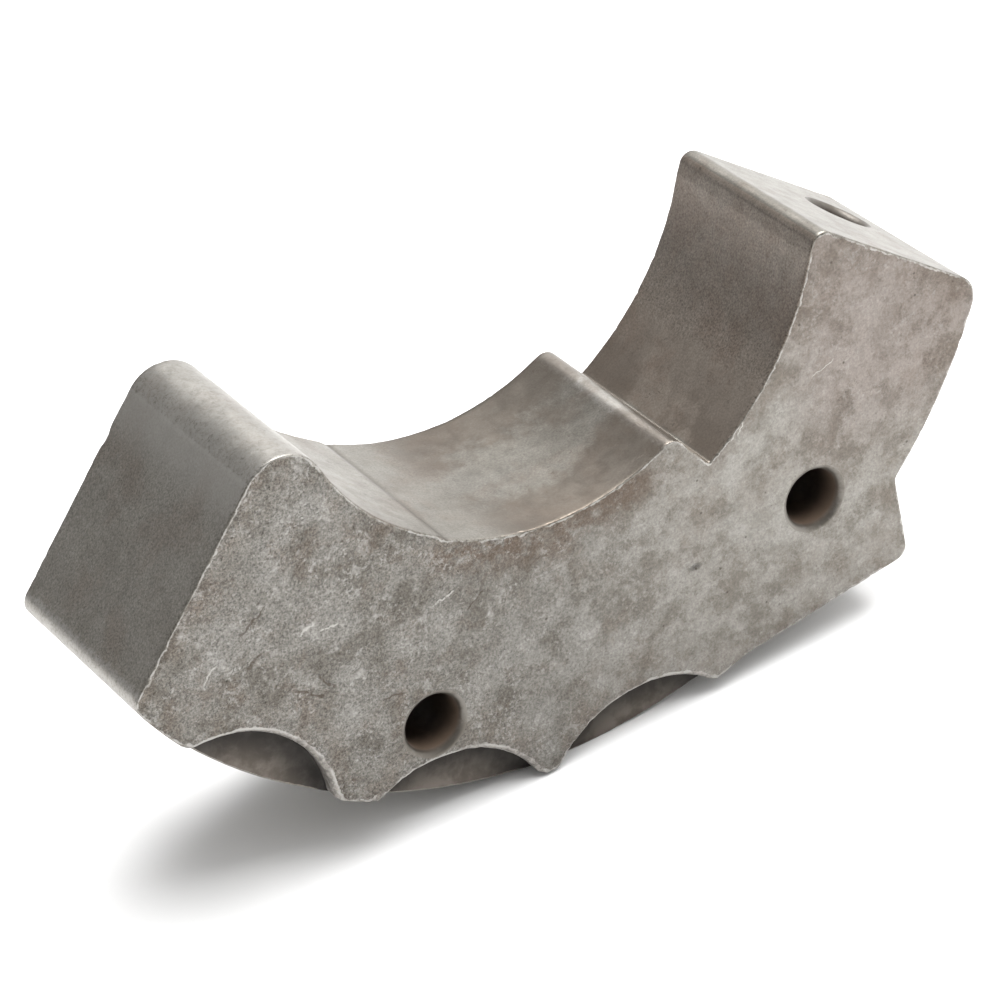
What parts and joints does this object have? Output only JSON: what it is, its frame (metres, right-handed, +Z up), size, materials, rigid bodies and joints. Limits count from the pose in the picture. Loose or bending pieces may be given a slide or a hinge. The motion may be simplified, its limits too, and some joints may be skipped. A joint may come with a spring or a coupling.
{
  "type": "conduit bender shoe",
  "caption": "Thick curved steel block with a stepped round seat for bending conduit, a scalloped rocker underneath, a driving lug and drilled pin holes.",
  "frame": {"origin": "Under the middle of the block's bounding box, on the surface it stands on.", "axes": "+Z up, as the block balances by itself on its curved rocker. X is its length, with the driving lug and the taller stepped arm towards +X. Y is its thickness, with the milled scallops on the -Y side. The axis shared by both conduit seats and the rocker runs along Y at x = -0.0010 m, z = 0.0588 m."},
  "size_m": [0.1046, 0.0254, 0.0515],
  "materials": {
    "steel": "worn, grey-brown, satin"
  },
  "bodies": {
    "root": {"shoe_body": "steel"}
  },
  "joints": []
}
